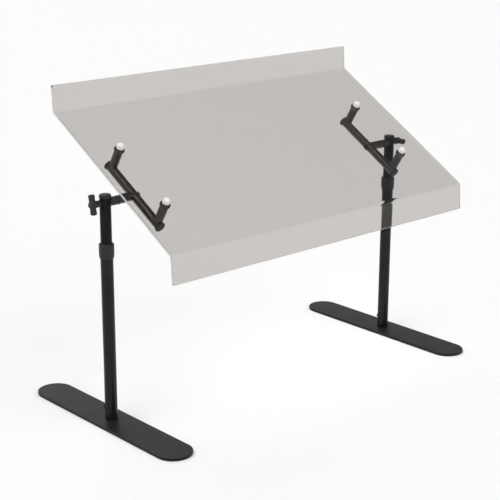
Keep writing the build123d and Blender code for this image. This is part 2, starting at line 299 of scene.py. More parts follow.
# fine relief of paint or moulded plastic, with a slow cloudiness beside it
grainMake = {
    "inputs": {"Scale": 1500.0, "Cloud": 18.0},
    "fineDetail": 3.0,
    "cloudDetail": 4.0,
    "cloudRange": (0.3, 0.7),
}


def makeGrainGroup():
    group, given, result = newGroup("fineGrain", grainMake["inputs"], ("Height", "Cloud"))
    coords = addNode(group, "ShaderNodeTexCoord").outputs["Object"]
    fine = noiseField(group, coords, given["Scale"], grainMake["fineDetail"])
    slow = noiseField(group, coords, given["Cloud"], grainMake["cloudDetail"])
    group.links.new(fine, result["Height"])
    group.links.new(spread(group, slow, *grainMake["cloudRange"]), result["Cloud"])
    return group


# rubbed edges: where the bevelled normal leaves the true one, broken up by noise
wearMake = {
    "inputs": {"Width": 0.6 * mm, "Amount": 0.5},
    "samples": 6,
    "leavingRange": (0.01, 0.16),  # 1 less the cosine between the two normals
    "patchScale": 260.0,
    "patchDetail": 5.0,
    "patchRange": (0.42, 0.68),
}


def makeWearGroup():
    make = wearMake
    group, given, result = newGroup("edgeWear", make["inputs"], ("Mask",))
    bevel = addNode(group, "ShaderNodeBevel", {"Radius": given["Width"]}, samples=make["samples"])
    normal = addNode(group, "ShaderNodeNewGeometry").outputs["Normal"]
    inputs = {0: bevel.outputs[0], 1: normal}
    alike = addNode(group, "ShaderNodeVectorMath", inputs, operation="DOT_PRODUCT")
    leaving = maths(group, "SUBTRACT", 1.0, alike.outputs["Value"])
    coords = addNode(group, "ShaderNodeTexCoord").outputs["Object"]
    patches = noiseField(group, coords, make["patchScale"], make["patchDetail"])
    edge = spread(group, leaving, *make["leavingRange"])
    broken = maths(group, "MULTIPLY", edge, spread(group, patches, *make["patchRange"]))
    group.links.new(maths(group, "MULTIPLY", broken, given["Amount"], clamp=True), result["Mask"])
    return group


# a thin veil on faces that look up
dustMake = {
    "inputs": {"Amount": 0.1},
    "speckScale": 420.0,
    "speckDetail": 6.0,
    "speckRange": (0.58, 0.74),
    "veilScale": 22.0,
    "veilDetail": 3.0,
    "facingRange": (0.35, 0.95),  # from upright faces to level ones
}


def makeDustGroup():
    make = dustMake
    group, given, result = newGroup("settledDust", make["inputs"], ("Mask",))
    surface = addNode(group, "ShaderNodeTexCoord").outputs
    facing = addNode(group, "ShaderNodeSeparateXYZ", {"Vector": surface["Normal"]}).outputs["Z"]
    specks = noiseField(group, surface["Object"], make["speckScale"], make["speckDetail"])
    veil = noiseField(group, surface["Object"], make["veilScale"], make["veilDetail"])
    both = maths(group, "ADD", spread(group, specks, *make["speckRange"]), veil)
    lying = maths(group, "MULTIPLY", both, spread(group, facing, *make["facingRange"]))
    group.links.new(maths(group, "MULTIPLY", lying, given["Amount"], clamp=True), result["Mask"])
    return group


# long faint lines from wiping or drawing, as thin contours of a stretched noise
hairlineMake = {
    "inputs": {"Along X": 4.0, "Along Y": 300.0, "Along Z": 300.0, "Width": 0.012},
    "lineDetail": 2.0,
    "contour": 0.5,  # the noise's value along a line
    "gateScale": 34.0,
    "gateDetail": 2.0,
    "gateRange": (0.52, 0.66),
}


def makeHairlineGroup():
    make = hairlineMake
    group, given, result = newGroup("hairlines", make["inputs"], ("Mask",))
    coords = addNode(group, "ShaderNodeTexCoord").outputs["Object"]
    scales = {axis: given[f"Along {axis}"] for axis in "XYZ"}
    stretch = addNode(group, "ShaderNodeCombineXYZ", scales).outputs[0]
    drawn = addNode(group, "ShaderNodeVectorMath", {0: coords, 1: stretch}, operation="MULTIPLY")
    lines = noiseField(group, drawn.outputs[0], 1.0, make["lineDetail"])
    away = maths(group, "ABSOLUTE", maths(group, "SUBTRACT", lines, make["contour"]))
    thin = maths(group, "DIVIDE", away, given["Width"])
    gate = noiseField(group, coords, make["gateScale"], make["gateDetail"])
    present = spread(group, gate, *make["gateRange"])
    mask = maths(group, "MULTIPLY", spread(group, thin, 1.0, 0.0), present, clamp=True)
    group.links.new(mask, result["Mask"])
    return group


grainGroup = makeGrainGroup()
wearGroup = makeWearGroup()
dustGroup = makeDustGroup()
hairlineGroup = makeHairlineGroup()


def newFinish(name, **sockets):
    finish = bpy.data.materials.new(name)
    finish.use_nodes = True
    tree = finish.node_tree
    shader = tree.nodes["Principled BSDF"]
    for label, value in sockets.items():
        shader.inputs[label.replace("_", " ")].default_value = value
    return finish, tree, shader


def color(red, green, blue):
    return (red, green, blue, 1.0)


def feed(tree, shader, **values):
    for label, value in values.items():
        tree.links.new(value, shader.inputs[label.replace("_", " ")])


def addRelief(tree, shader, height, strength, depth):
    bump = addNode(tree, "ShaderNodeBump", {"Height": height, "Strength": strength, "Distance": depth})
    feed(tree, shader, Normal=bump.outputs[0])


dustColor = color(0.42, 0.40, 0.37)

# painted steel: orange peel, faint clouds in the gloss, rubbed edges, a little dust
paintLooks = {
    "footPaint": {
        "base": color(0.009, 0.0088, 0.0083), "cloudy": color(0.013, 0.0128, 0.0121),
        "worn": color(0.11, 0.108, 0.104), "roughness": (0.36, 0.46), "specular": 0.20,
        "peel": 700.0, "relief": 0.06, "edge": 0.7 * mm, "wear": 0.5, "dust": 0.02,
    },
    "lowerPostPaint": {
        "base": color(0.006, 0.006, 0.0059), "cloudy": color(0.0085, 0.0085, 0.0083),
        "worn": color(0.10, 0.10, 0.10), "roughness": (0.24, 0.32), "specular": 0.20,
        "peel": 900.0, "relief": 0.04, "edge": 0.5 * mm, "wear": 0.4, "dust": 0.02,
    },
    # the same black paint as the lower post, copied darker and less shiny: painted shade from the board above
    "upperPostShadedPaint": {
        "base": color(0.0045, 0.0045, 0.0044), "cloudy": color(0.0065, 0.0065, 0.0063),
        "worn": color(0.09, 0.09, 0.09), "roughness": (0.24, 0.33), "specular": 0.13,
        "peel": 900.0, "relief": 0.04, "edge": 0.5 * mm, "wear": 0.4, "dust": 0.02,
    },
    "yokePaint": {
        "base": color(0.009, 0.0085, 0.008), "cloudy": color(0.012, 0.0115, 0.011),
        "worn": color(0.10, 0.098, 0.095), "roughness": (0.15, 0.22), "specular": 0.75,
        "peel": 800.0, "relief": 0.05, "edge": 0.5 * mm, "wear": 0.45, "dust": 0.04,
    },
}
paintMake = {"cloud": 14.0, "dustMatt": 0.5, "reliefDepth": 0.4 * mm}


def makePaint(name):
    look = paintLooks[name]
    finish, tree, shader = newFinish(name, Specular_IOR_Level=look["specular"])
    grain = useGroup(tree, grainGroup, Scale=look["peel"], Cloud=paintMake["cloud"])
    wear = useGroup(tree, wearGroup, Width=look["edge"], Amount=look["wear"])["Mask"]
    dust = useGroup(tree, dustGroup, Amount=look["dust"])["Mask"]
    coat = mixColor(tree, grain["Cloud"], look["base"], look["cloudy"])
    rubbed = mixColor(tree, wear, coat, look["worn"])
    gloss = between(tree, grain["Cloud"], look["roughness"])
    dulled = maths(tree, "ADD", gloss, maths(tree, "MULTIPLY", dust, paintMake["dustMatt"]))
    feed(tree, shader, Base_Color=mixColor(tree, dust, rubbed, dustColor), Roughness=dulled)
    addRelief(tree, shader, grain["Height"], look["relief"], paintMake["reliefDepth"])
    return finish


# moulded plastics: fine grain, slow cloudiness, edges rubbed a little brighter and smoother
plasticLooks = {
    "collarPlastic": {
        "base": color(0.011, 0.0113, 0.0127), "cloudy": color(0.016, 0.0165, 0.0182),
        "worn": color(0.08, 0.08, 0.084), "roughness": (0.32, 0.44), "specular": 0.30,
        "grain": 1900.0, "relief": 0.16, "wear": 0.5, "dust": 0.04,
    },
    "capPlastic": {
        "base": color(0.012, 0.012, 0.012), "cloudy": color(0.016, 0.016, 0.016),
        "worn": color(0.07, 0.07, 0.07), "roughness": (0.36, 0.47), "specular": 0.30,
        "grain": 2200.0, "relief": 0.10, "wear": 0.4, "dust": 0.05,
    },
    "knobPlastic": {
        "base": color(0.014, 0.014, 0.014), "cloudy": color(0.019, 0.019, 0.019),
        "worn": color(0.08, 0.08, 0.08), "roughness": (0.34, 0.46), "specular": 0.34,
        "grain": 2000.0, "relief": 0.12, "wear": 0.6, "dust": 0.04,
    },
    "clutchPlastic": {
        "base": color(0.020, 0.020, 0.020), "cloudy": color(0.026, 0.026, 0.026),
        "worn": color(0.06, 0.06, 0.06), "roughness": (0.42, 0.52), "specular": 0.35,
        "grain": 1800.0, "relief": 0.08, "wear": 0.3, "dust": 0.0,
    },
}
plasticMake = {"cloud": 60.0, "edge": 0.5 * mm, "wornPolish": 0.12, "reliefDepth": 0.3 * mm}


def makePlastic(name):
    look = plasticLooks[name]
    finish, tree, shader = newFinish(name, Specular_IOR_Level=look["specular"])
    grain = useGroup(tree, grainGroup, Scale=look["grain"], Cloud=plasticMake["cloud"])
    wear = useGroup(tree, wearGroup, Width=plasticMake["edge"], Amount=look["wear"])["Mask"]
    dust = useGroup(tree, dustGroup, Amount=look["dust"])["Mask"]
    body = mixColor(tree, grain["Cloud"], look["base"], look["cloudy"])
    rubbed = mixColor(tree, wear, body, look["worn"])
    matt = between(tree, grain["Cloud"], look["roughness"])
    polished = maths(tree, "SUBTRACT", matt, maths(tree, "MULTIPLY", wear, plasticMake["wornPolish"]))
    feed(tree, shader, Base_Color=mixColor(tree, dust, rubbed, dustColor), Roughness=polished)
    addRelief(tree, shader, grain["Height"], look["relief"], plasticMake["reliefDepth"])
    return finish


# screws, clamp washers and spigots
metalLooks = {
    "blackOxide": {
        "base": color(0.020, 0.020, 0.021), "worn": color(0.30, 0.30, 0.30),
        "roughness": (0.34, 0.50), "metallic": 0.55, "wear": 0.7,
    },
    "zincSteel": {
        "base": color(0.52, 0.52, 0.50), "worn": color(0.70, 0.70, 0.69),
        "roughness": (0.26, 0.42), "metallic": 1.0, "wear": 0.6,
    },
}
metalMake = {
    "grain": 2600.0,
    "cloud": 180.0,
    "edge": 0.4 * mm,
    "lines": {"Along X": 900.0, "Along Y": 900.0, "Along Z": 60.0},
    "lineMatt": 0.12,
    "relief": 0.06,
    "reliefDepth": 0.2 * mm,
}


def makeMetal(name):
    look = metalLooks[name]
    make = metalMake
    finish, tree, shader = newFinish(name, Metallic=look["metallic"])
    grain = useGroup(tree, grainGroup, Scale=make["grain"], Cloud=make["cloud"])
    wear = useGroup(tree, wearGroup, Width=make["edge"], Amount=look["wear"])["Mask"]
    lines = useGroup(tree, hairlineGroup, **make["lines"])["Mask"]
    gloss = between(tree, grain["Cloud"], look["roughness"])
    drawn = maths(tree, "ADD", gloss, maths(tree, "MULTIPLY", lines, make["lineMatt"]))
    feed(tree, shader, Base_Color=mixColor(tree, wear, look["base"], look["worn"]), Roughness=drawn)
    addRelief(tree, shader, grain["Height"], make["relief"], make["reliefDepth"])
    return finish


# black washers that never shine, and natural nylon with a soft moulded gloss
mouldedLooks = {
    "blackRubber": {
        "base": color(0.012, 0.012, 0.012), "cloudy": color(0.022, 0.021, 0.020),
        "roughness": (0.62, 0.76), "specular": 0.3, "grain": 2400.0, "cloud": 120.0,
        "relief": 0.2, "dust": 0.08, "dusty": color(0.3, 0.29, 0.27),
    },
    "whiteNylon": {
        "base": color(0.81, 0.79, 0.735), "cloudy": color(0.86, 0.845, 0.795),
        "roughness": (0.30, 0.42), "specular": 0.45, "grain": 1600.0, "cloud": 140.0,
        "relief": 0.06,
    },
}
mouldedDepth = 0.3 * mm


def makeMoulded(name):
    look = mouldedLooks[name]
    finish, tree, shader = newFinish(name, Specular_IOR_Level=look["specular"])
    grain = useGroup(tree, grainGroup, Scale=look["grain"], Cloud=look["cloud"])
    tone = mixColor(tree, grain["Cloud"], look["base"], look["cloudy"])
    if "dust" in look:
        dust = useGroup(tree, dustGroup, Amount=look["dust"])["Mask"]
        tone = mixColor(tree, dust, tone, look["dusty"])
    feed(tree, shader, Base_Color=tone, Roughness=between(tree, grain["Cloud"], look["roughness"]))
    addRelief(tree, shader, grain["Height"], look["relief"], mouldedDepth)
    return finish


# cast acrylic: its faces are polished, its cut edges milky
acrylicLooks = {
    "clearAcrylic": {
        "tint": color(0.598, 0.571, 0.551), "clear": 1.0, "specular": 0.15,
        "roughness": (0.012, 0.03), "lines": 0.10,
    },
    "acrylicCutEdge": {
        "tint": color(0.78, 0.77, 0.755), "clear": 0.3, "specular": 0.5,
        "roughness": (0.22, 0.34), "lines": 0.05,
    },
}
acrylicMake = {
    "ior": 1.34,  # below real acrylic's 1.49, to keep the mirroring faint
    "grain": 160.0,
    "cloud": 9.0,
    "relief": 0.003,
    "reliefDepth": 0.4 * mm,
    "shadow": color(0.97, 0.968, 0.965),
}


def makeAcrylic(name):
    look = acrylicLooks[name]
    make = acrylicMake
    finish, tree, shader = newFinish(
        name, Base_Color=look["tint"], Transmission_Weight=look["clear"], IOR=make["ior"],
        Specular_IOR_Level=look["specular"],
    )
    grain = useGroup(tree, grainGroup, Scale=make["grain"], Cloud=make["cloud"])
    lines = useGroup(tree, hairlineGroup)["Mask"]
    smears = between(tree, grain["Cloud"], look["roughness"])
    marks = maths(tree, "MULTIPLY", lines, look["lines"])
    feed(tree, shader, Roughness=maths(tree, "ADD", smears, marks))
    addRelief(tree, shader, grain["Height"], make["relief"], make["reliefDepth"])
    # light passes almost unhindered, so the sheet's shadow stays pale
    clear = addNode(tree, "ShaderNodeBsdfTransparent", {"Color": make["shadow"]})
    lamps = addNode(tree, "ShaderNodeLightPath").outputs["Is Shadow Ray"]
    either = addNode(tree, "ShaderNodeMixShader", {0: lamps, 1: shader.outputs[0], 2: clear.outputs[0]})
    tree.links.new(either.outputs[0], tree.nodes["Material Output"].inputs["Surface"])
    return finish


finishMakers = (
    (makePaint, paintLooks),
    (makePlastic, plasticLooks),
    (makeMetal, metalLooks),
    (makeMoulded, mouldedLooks),
    (makeAcrylic, acrylicLooks),
)
finishes = {name: maker(name) for maker, looks in finishMakers for name in looks}
print("finishes made:", len(finishes))


def uprightAt(node, height=None):
    # a place over a node's middle, at its lower end or at a given height
    return Matrix.Translation((middle(node).x, 0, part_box(node)[0].z if height is None else height))


footMake = {
    "topEase": 0.8 * mm,
    "bottomEase": 0.3 * mm,
    "easeSteps": 5,
    "endSteps": 48,
    "countersinkRadius": 7.8 * mm,
    "screwHoleRadius": 4.3 * mm,
    "cutPast": 1.0 * mm,  # how far the hole's cutter passes both faces
}


def stadium(halfRun, radius, height):
    # a plate's outline with full-round ends, its length along Y
    ring = []
    for end in (1, -1):
        for step in range(footMake["endSteps"] + 1):
            angle = math.pi * step / footMake["endSteps"] + (0 if end > 0 else math.pi)
            ring.append(Vector((radius * math.cos(angle), end * halfRun + radius * math.sin(angle), height)))
    return ring


def makeFoot(sideName):
    node = f"{sideName}_foot"
    size = extent(node)
    halfWidth = size.x / 2
    halfRun = size.y / 2 - halfWidth
    levels = [(footMake["bottomEase"], 0.0), (0.0, footMake["bottomEase"])]
    for step in range(footMake["easeSteps"] + 1):
        turn = math.pi / 2 * step / footMake["easeSteps"]
        inset = footMake["topEase"] * (1 - math.cos(turn))
        levels.append((inset, size.z - footMake["topEase"] * (1 - math.sin(turn))))
    plate = skin([stadium(halfRun, halfWidth - inset, level) for inset, level in levels])
    sinkRadius, holeRadius = footMake["countersinkRadius"], footMake["screwHoleRadius"]
    past = footMake["cutPast"]
    seat = turned([
        corner(0, -past),
        corner(sinkRadius, -past),
        corner(sinkRadius, 0),
        corner(holeRadius, sinkRadius - holeRadius),
        corner(holeRadius, size.z + past),
        corner(0, size.z + past),
    ])
    plate = carved(plate, seat)
    addPiece(node, plate, "stands", ["footPaint"], [node], uprightAt(node))


footScrewMake = {
    "key": 2.5 * mm,
    "keyDepth": 2.4 * mm,
    "shankRadius": 4.0 * mm,
    "ease": 0.2 * mm,
    "endChamfer": 0.6 * mm,
}


def makeFootScrew(sideName):
    node = f"{sideName}_foot_screw"
    size = extent(node)
    make = footScrewMake
    headRadius = size.x / 2
    screw = turned([
        corner(0, make["keyDepth"]),
        corner(make["key"], make["keyDepth"], form=hexKey),
        corner(make["key"], 0, form=hexKey),
        corner(headRadius, 0, make["ease"]),
        corner(make["shankRadius"], headRadius - make["shankRadius"], make["ease"]),
        corner(make["shankRadius"], size.z - make["endChamfer"]),
        corner(make["shankRadius"] - make["endChamfer"], size.z),
        corner(0, size.z),
    ], segments=48)
    addPiece(node, screw, "stands", ["blackOxide"], [node], uprightAt(node))


tubeMake = {"lowerWall": 0.95 * mm, "upperWall": 1.2 * mm, "ease": 0.25 * mm, "segments": 96}


def makeTube(node, body, wall, paint):
    size = extent(node)
    outer = size.x / 2
    tube = hollow(outer - wall, outer, 0, size.z, tubeMake["ease"], tubeMake["segments"])
    addPiece(node, tube, body, [paint], [node], uprightAt(node))


buttonHeadMake = {
    "height": 3.2 * mm,
    "crownEase": 2.2 * mm,
    "rimEase": 0.2 * mm,
    "key": 1.5 * mm,
    "keyDepth": 1.9 * mm,
    "mouthDepth": 0.25 * mm,
    "mouthFlare": 0.3 * mm,
    "shankRadius": 2.5 * mm,
    "endChamfer": 0.5 * mm,
}


def buttonHead(headRadius, length):
    # a screw whose head sits on Z = 0 and looks up; its shank goes down
    make = buttonHeadMake
    keyFloor = make["height"] - make["keyDepth"]
    end = make["height"] - length
    return turned([
        corner(0, keyFloor),
        corner(make["key"], keyFloor, form=hexKey),
        corner(make["key"], make["height"] - make["mouthDepth"], form=hexKey),
        corner(make["key"] + make["mouthFlare"], make["height"], form=hexKey),
        corner(headRadius, make["height"], make["crownEase"]),
        corner(headRadius, 0, make["rimEase"]),
        corner(make["shankRadius"], 0),
        corner(make["shankRadius"], end + make["endChamfer"]),
        corner(make["shankRadius"] - make["endChamfer"], end),
        corner(0, end),
    ], segments=48)


def makePostScrew(sideName):
    node = f"{sideName}_post_screw"
    size = extent(node)
    seat = Vector((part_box(node)[0].x + buttonHeadMake["height"], 0, middle(node).z))
    place = placeAt(seat, -across, upward)
    screw = buttonHead(size.y / 2, size.x)
    addPiece(node, screw, "stands", ["blackOxide"], [node], place)


collarMake = {
    "footRadius": 11.3 * mm,
    "footEase": 0.2 * mm,
    "taper": 7.0 * mm,
    "waistEase": 0.5 * mm,
    "plainBand": 1.2 * mm,  # between the taper and the flutes
    "lip": 2.5 * mm,
    "bore": 10.75 * mm,
    "lipBore": 9.3 * mm,
    "lipEase": 0.15 * mm,
    "rimWidth": 1.2 * mm,
    "rimHeight": 1.4 * mm,
    "rimEase": 0.4 * mm,
    "flutes": 18,
    "fluteSteps": 12,
    "fluteDepth": 0.35 * mm,
    "fluteShare": 0.5,  # of the space between two flutes
}


def fluted(radius, height, angle):
    phase = (angle * collarMake["flutes"] / (2 * math.pi)) % 1.0
    fromMiddle = min(phase, 1 - phase) * 2 / collarMake["fluteShare"]
    depth = collarMake["fluteDepth"] * (1 + math.cos(math.pi * fromMiddle)) / 2 if fromMiddle < 1 else 0
    return radius - depth, height


def makeCollar(sideName):
    node = f"{sideName}_clutch_collar"
    size = extent(node)
    make = collarMake
    radius = size.x / 2
    collar = turned([
        corner(make["bore"], 0),
        corner(make["footRadius"], 0, make["footEase"]),
        corner(radius, make["taper"], make["waistEase"]),
        corner(radius, make["taper"] + make["plainBand"], form=fluted),
        corner(radius, size.z - make["rimHeight"], make["waistEase"], fluted),
        corner(radius - make["rimWidth"], size.z, make["rimEase"]),
        corner(make["lipBore"], size.z, make["lipEase"]),
        corner(make["lipBore"], size.z - make["lip"]),
        corner(make["bore"], size.z - make["lip"]),
    ], segments=make["flutes"] * make["fluteSteps"], wrap=True)
    body = f"{sideName}_collar"
    addPiece(node, collar, body, ["collarPlastic"], [node], uprightAt(node))


for sideName in sides:
    makeFoot(sideName)
    makeFootScrew(sideName)
    makePostScrew(sideName)
    makeCollar(sideName)
    makeTube(f"{sideName}_lower_tube", "stands", tubeMake["lowerWall"], "lowerPostPaint")
    # the upper tube gets the darker copy of the post paint, as painted shade from the board above
    makeTube(f"{sideName}_upper_tube", f"{sideName}_upper_post", tubeMake["upperWall"], "upperPostShadedPaint")
print("stands built")


clampBore = 3.3 * mm  # round the clamp screw, in the saddle and both washers

capMake = {
    "height": 6.0 * mm,
    "ease": 1.8 * mm,
    "crown": 0.5 * mm,
    "crownPlace": 0.55,  # of the radius, where the crown bends
    "crownShare": 0.3,  # of its height still to rise there
    "crownEase": 6.0 * mm,
    "plugRadius": 7.75 * mm,
    "plugEase": 0.6 * mm,
    "rimEase": 0.3 * mm,
}


def makeTopPlug(sideName):
    node = f"{sideName}_top_plug"
    low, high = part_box(node)
    make = capMake
    seat = high.z - make["height"]
    radius = extent(node).x / 2
    top = make["height"]
    plug = turned([
        corner(0, low.z - seat),
        corner(make["plugRadius"], low.z - seat, make["plugEase"]),
        corner(make["plugRadius"], 0),
        corner(radius, 0, make["rimEase"]),
        corner(radius, top - make["crown"], make["ease"]),
        corner(radius * make["crownPlace"], top - make["crown"] * make["crownShare"], make["crownEase"]),
        corner(0, top),
    ], segments=72)
    place = uprightAt(node, seat)
    addPiece(node, plug, f"{sideName}_upper_post", ["capPlastic"], [node], place)


def nodeEnd(sideName, node, end):
    # how far across the stand a node's outer or inner end lies
    low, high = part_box(node)
    return high.x if (end == "outer") == (sides[sideName] > 0) else low.x


def inwardAt(sideName, x, xAxis):
    # a place on the tilt axis, looking inwards
    return placeAt(Vector((x, 0, axisHeight)), across * -sides[sideName], xAxis)


ringEases = {"knob_washer": 0.2 * mm, "friction_washer": 0.35 * mm}


def makeRing(sideName, ringName, finish):
    node = f"{sideName}_{ringName}"
    size = extent(node)
    ease = ringEases[ringName]
    ring = hollow(clampBore, size.y / 2, 0, size.x, ease, segments=64, boreEase=ease)
    place = inwardAt(sideName, nodeEnd(sideName, node, "outer"), rearward)
    addPiece(node, ring, f"{sideName}_upper_post", [finish], [node], place)


saddleMake = {
    "ease": 0.5 * mm,
    "postRadius": 9.0 * mm,
    "seatRings": (0.6, 0.8, 1.0),  # of the radius, where the seat follows the post
    "flank": 3.0 * mm,
}


def makeSaddle(sideName):
    node = f"{sideName}_pivot_saddle"
    make = saddleMake
    inner = nodeEnd(sideName, node, "inner")
    postAxis = middle(f"{sideName}_upper_tube").x
    length = abs(inner - postAxis)
    radius = extent(node).y / 2
    seat = againstBar(make["postRadius"])
    saddle = turned([
        corner(clampBore, length),
        corner(clampBore, make["postRadius"], form=seat),
        *(corner(share * radius, make["postRadius"], form=seat) for share in make["seatRings"]),
        corner(radius, make["postRadius"] + make["flank"]),
        corner(radius, length, make["ease"]),
    ], segments=72, wrap=True)
    place = inwardAt(sideName, postAxis, rearward)
    addPiece(node, saddle, f"{sideName}_upper_post", ["capPlastic"], [node], place)


knobMake = {
    "hubBaseRadius": 4.7 * mm,
    "hubBaseEase": 0.5 * mm,
    "hubRadius": 6.0 * mm,
    "hubLength": 8.5 * mm,
    "hubEase": 3.0 * mm,
    "noseStart": 16.1 * mm,
    "noseEase": 1.2 * mm,
    "noseRadius": 4.0 * mm,
    "tipEase": 1.5 * mm,
    "wingSpan": 32.0 * mm,
    "wingRadius": 5.2 * mm,
    "wingWaist": 4.6 * mm,
    "waistEase": 20.0 * mm,
    "wingHeight": 13.2 * mm,
    "wingEnd": 2.4 * mm,
    "leftLean": math.radians(10),  # off upright, the top to the rear
    "voxel": 0.34 * mm,
    "smoothing": {"factor": 0.5, "iterations": 6},
    "faceShare": 0.5,
}


def makeKnob(sideName, wingDirection):
    node = f"{sideName}_wing_knob"
    make = knobMake
    half = make["wingSpan"] / 2
    wings = turned([
        corner(0, -half),
        corner(make["wingRadius"], -half, make["wingEnd"]),
        corner(make["wingWaist"], 0, make["waistEase"]),
        corner(make["wingRadius"], half, make["wingEnd"]),
        corner(0, half),
    ], segments=48)
    lying = Matrix.Translation((0, 0, make["wingHeight"])) @ Matrix.Rotation(math.pi / 2, 4, "Y")
    bmesh.ops.transform(wings, matrix=lying, verts=wings.verts)
    reach = extent(node).x
    hub = turned([
        corner(0, 0),
        corner(make["hubBaseRadius"], 0, make["hubBaseEase"]),
        corner(make["hubRadius"], make["hubLength"], make["hubEase"]),
        corner(make["hubRadius"], make["noseStart"], make["noseEase"]),
        corner(make["noseRadius"], reach, make["tipEase"]),
        corner(0, reach),
    ], segments=48)
    # fused and smoothed, so that the wings grow out of the hub with moulded fillets
    knob = applied(
        merged(wings, hub),
        ("REMESH", {"mode": "VOXEL", "voxel_size": make["voxel"]}),
        ("SMOOTH", make["smoothing"]),
        ("DECIMATE", {"ratio": make["faceShare"]}),
    )
    base = Vector((nodeEnd(sideName, node, "inner"), 0, axisHeight))
    place = placeAt(base, across * sides[sideName], wingDirection)
    addPiece(
        node, knob, f"{sideName}_knob", ["knobPlastic"], [node], place,
        sharpAngle=80,
    )


for sideName in sides:
    makeTopPlug(sideName)
    makeSaddle(sideName)
    makeRing(sideName, "knob_washer", "blackOxide")
    makeRing(sideName, "friction_washer", "blackRubber")
# as stored, the left wings stand almost upright and the right ones lie level
makeKnob("left", upward * math.cos(knobMake["leftLean"]) + rearward * math.sin(knobMake["leftLean"]))
makeKnob("right", rearward)
print("post tops and clamps built")


barRadius = 7.2 * mm
panelTop = 44.8 * mm  # tilt axis to the panel's upper face
boardThickness = 4.0 * mm
washerThickness = 3.0 * mm
armTop = panelTop - boardThickness - washerThickness


def yokePlace(sideName, along, above):
    # a place on a yoke, looking square out of the panel, with its own Y up the slope
    bar = middle(f"{sideName}_yoke_bar")
    return placeAt(bar + slope * along + panelNormal * above, panelNormal, across)


def armAlong(sideName, armName):
    return (middle(f"{sideName}_{armName}_arm") - middle(f"{sideName}_yoke_bar")).dot(slope)


stubMake = {
    "faceEase": 0.5 * mm,
    "lip": 2.0 * mm,  # the end stops this short of the bar's axis
    "flank": 0.6,  # of the reach
    "meetRings": (1.0, 0.85, 0.65, 0.4),  # of the radius, where the end follows the bar
}


def makeStub(sideName):
    node = f"{sideName}_pivot_stub"
    start = nodeEnd(sideName, node, "outer")
    reach = abs(middle(f"{sideName}_yoke_bar").x - start)
    radius = extent(node).y / 2
    meet = againstBar(barRadius, stubMake["lip"], -1, reach)
    stub = turned([
        corner(0, 0),
        corner(radius, 0, stubMake["faceEase"]),
        corner(radius, reach * stubMake["flank"]),
        *(corner(radius * share, reach, form=meet) for share in stubMake["meetRings"]),
        corner(0, reach - barRadius),
    ], segments=96)
    place = inwardAt(sideName, start, panelNormal)
    addPiece(node, stub, "board", ["yokePaint"], [node], place)


barMake = {
    "wall": 1.5 * mm,
    "ease": 0.3 * mm,
    "capRadius": 8.6 * mm,
    "capThickness": 3.0 * mm,
    "capPlug": 8.0 * mm,
    "plugEase": 0.5 * mm,
    "rimEase": 0.3 * mm,
    "rimDrop": 0.3 * mm,  # the cap's rim lies this far under its middle
    "shoulderEase": 1.0 * mm,
    "crownPlace": 0.5,  # of the cap's radius, where its crown bends
    "crownDrop": 0.05 * mm,
    "crownEase": 5.0 * mm,
}


def makeBar(sideName):
    node = f"{sideName}_yoke_bar"
    make = barMake
    capEnd = extent(f"{sideName}_bar_caps")
    capRadius = make["capRadius"]
    capThickness = make["capThickness"]
    tilt = math.atan2(slope.z, slope.y)
    # the caps' box gives their full reach along the slope
    reach = (capEnd.y / 2 - capRadius * math.sin(tilt)) / math.cos(tilt)
    half = reach - capThickness
    inner = barRadius - make["wall"]
    bar = hollow(inner, barRadius, -half, half, make["ease"], segments=72)
    place = placeAt(middle(node), slope, across)
    addPiece(node, bar, "board", ["yokePaint"], [node], place)
    for armName, end in zip(armPlaces, (-1, 1)):
        cap = turned([
            corner(0, -make["capPlug"]),
            corner(inner, -make["capPlug"], make["plugEase"]),
            corner(inner, 0),
            corner(capRadius, 0, make["rimEase"]),
            corner(capRadius, capThickness - make["rimDrop"], make["shoulderEase"]),
            corner(make["crownPlace"] * capRadius, capThickness - make["crownDrop"], make["crownEase"]),
            corner(0, capThickness),
        ], segments=64)
        capPlace = placeAt(middle(node) + slope * end * half, slope * end, across)
        addPiece(
            f"{sideName}_{armName}_bar_cap", cap, "board",
            ["capPlastic"], [f"{sideName}_bar_caps"], capPlace,
        )


armMake = {
    "meetRings": (0.45, 0.7, 0.88, 1.0),  # of the radius, where the foot follows the bar
    "flank": 0.5,  # of the arm's height
    "ease": 0.3 * mm,
}


def makeArm(sideName, armName):
    node = f"{sideName}_{armName}_arm"
    radius = extent(node).x / 2
    meet = againstBar(barRadius)
    arm = turned([
        corner(0, barRadius),
        *(corner(radius * share, 0, form=meet) for share in armMake["meetRings"]),
        corner(radius, armTop * armMake["flank"]),
        corner(radius, armTop, armMake["ease"]),
        corner(0, armTop),
    ], segments=96)
    place = yokePlace(sideName, armAlong(sideName, armName), 0)
    addPiece(node, arm, "board", ["yokePaint"], [node], place)


beadMake = {
    "radius": 0.55 * mm,
    "around": 96,
    "section": 8,
    "lean": 0.6,  # the section's rise for each unit outwards
    "ripples": 40,
    "rippleShare": 0.12,
    "lumpShare": 0.2,
    "lumpScale": 400,
}


def makeBead(sideName, armName):
    # the weld that runs round an arm where it stands on the bar
    make = beadMake
    radius = extent(f"{sideName}_{armName}_arm").x / 2
    rings = []
    for step in range(make["around"]):
        angle = 2 * math.pi * step / make["around"]
        offset = radius * math.cos(angle)
        height = math.sqrt(max(barRadius**2 - offset**2, 0))
        centre = Vector((offset, radius * math.sin(angle), height))
        outward = Vector((math.cos(angle), math.sin(angle), make["lean"])).normalized()
        ripple = make["rippleShare"] * math.sin(make["ripples"] * angle)
        lump = make["lumpShare"] * noise.noise(centre * make["lumpScale"])
        thickness = make["radius"] * (1 + ripple + lump)
        ring = []
        for turn in range(make["section"]):
            swing = 2 * math.pi * turn / make["section"]
            ring.append(centre + thickness * (outward * math.cos(swing) + upward * math.sin(swing)))
        rings.append(ring)
    place = yokePlace(sideName, armAlong(sideName, armName), 0)
    addPiece(
        f"{sideName}_{armName}_weld", skin(rings, wrap=True), "board",
        ["yokePaint"], [], place, sharpAngle=80,
    )


